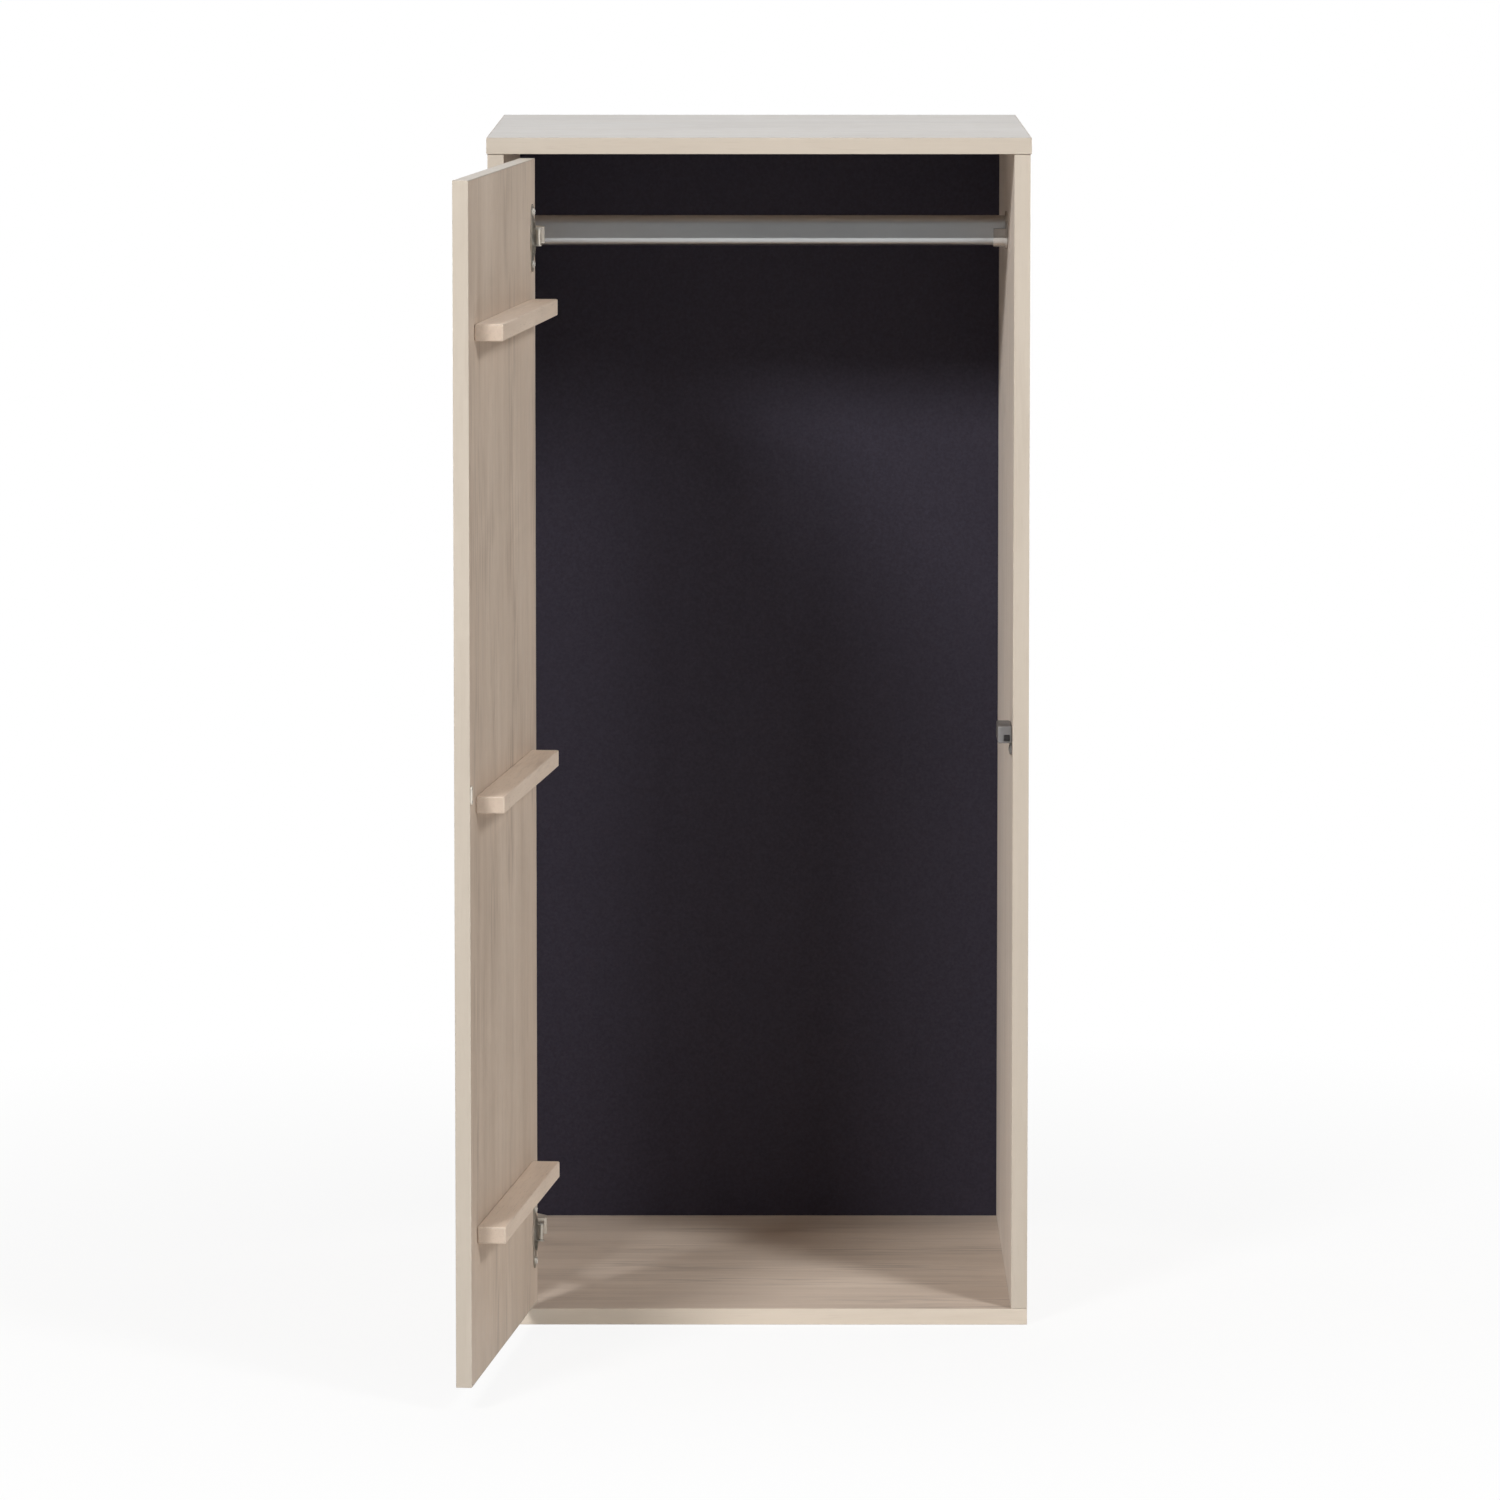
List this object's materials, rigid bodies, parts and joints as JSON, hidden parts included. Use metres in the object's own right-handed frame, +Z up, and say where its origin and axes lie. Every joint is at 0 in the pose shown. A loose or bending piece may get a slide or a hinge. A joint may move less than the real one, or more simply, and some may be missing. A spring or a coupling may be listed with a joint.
{
  "type": "wardrobe",
  "caption": "Pale oak-look wardrobe with one inset door on concealed cup hinges, door battens, an oval hanging rail and a push latch, standing open.",
  "frame": {"origin": "middle of the carcass's base, on the floor", "axes": "+X to the right seen from the front, +Y from the open front into the carcass, +Z up"},
  "size_m": [0.5506, 1.1036, 1.176],
  "materials": {
    "oak_board": "pale oak-look laminate, satin",
    "oak_edging": "lighter oak-look edging, satin",
    "black_board": "black laminate, matt",
    "beech": "raw fluted beech",
    "rail_metal": "satin plated tube",
    "socket_metal": "satin plated casting",
    "nickel_plate": "nickel plate",
    "pin_steel": "plain steel",
    "latch_grey": "moulded grey",
    "latch_black": "moulded black"
  },
  "bodies": {
    "carcass": {"back_panel": "black_board", "bottom_front_edging": "oak_edging", "bottom_left_front_dowel": "beech", "bottom_left_rear_dowel": "beech", "bottom_panel": "oak_board", "bottom_right_front_dowel": "beech", "bottom_right_rear_dowel": "beech", "hanging_rail": "rail_metal", "latch_housing": "latch_grey", "left_rail_socket": "socket_metal", "left_side_front_edging": "oak_edging", "left_side_panel": "oak_board", "lower_arm_pin": "pin_steel", "lower_hinge_arm": "nickel_plate", "lower_hinge_clamp_screw": "pin_steel", "lower_hinge_plate": "nickel_plate", "lower_hinge_side_screw": "pin_steel", "right_rail_socket": "socket_metal", "right_side_front_edging": "oak_edging", "right_side_panel": "oak_board", "top_front_edging": "oak_edging", "top_left_edging": "oak_edging", "top_left_front_dowel": "beech", "top_left_rear_dowel": "beech", "top_panel": "oak_board", "top_right_edging": "oak_edging", "top_right_front_dowel": "beech", "top_right_rear_dowel": "beech", "upper_arm_pin": "pin_steel", "upper_hinge_arm": "nickel_plate", "upper_hinge_clamp_screw": "pin_steel", "upper_hinge_plate": "nickel_plate", "upper_hinge_side_screw": "pin_steel"},
    "door": {"door_panel": "oak_board", "door_hinge_edging": "oak_edging", "door_free_edging": "oak_edging", "door_top_edging": "oak_edging", "door_bottom_edging": "oak_edging", "upper_door_batten": "oak_board", "middle_door_batten": "oak_board", "lower_door_batten": "oak_board", "latch_strike": "nickel_plate", "upper_hinge_cup": "nickel_plate", "lower_hinge_cup": "nickel_plate", "upper_cup_pin": "pin_steel", "lower_cup_pin": "pin_steel"},
    "upper_link": {"upper_hinge_link": "nickel_plate"},
    "lower_link": {"lower_hinge_link": "nickel_plate"},
    "plunger": {"latch_plunger": "latch_black"}
  },
  "joints": [
    {"name": "door_swing", "type": "hinge", "parent": "carcass", "child": "door", "pos_m": [-0.2428, -0.3105, 0.59], "axis": [0, 0, 1], "range_deg": [0, 95.7]},
    {"name": "upper_link_fold", "type": "hinge", "parent": "door", "child": "upper_link", "pos_m": [-0.21561, -0.31603, 1.0795], "axis": [0, 0, 1], "range_deg": [-203.8, 0]},
    {"name": "lower_link_fold", "type": "hinge", "parent": "door", "child": "lower_link", "pos_m": [-0.21561, -0.31603, 0.095], "axis": [0, 0, 1], "range_deg": [-203.8, 0]},
    {"name": "plunger_press", "type": "slide", "parent": "carcass", "child": "plunger", "axis": [0, 1, 0], "range_m": [0, 0.003], "stiffness_N_per_m": 400}
  ],
  "couplings": [
    {"joint": "upper_link_fold", "follows": "door_swing", "ratio": -2.1292},
    {"joint": "lower_link_fold", "follows": "door_swing", "ratio": -2.1292}
  ]
}
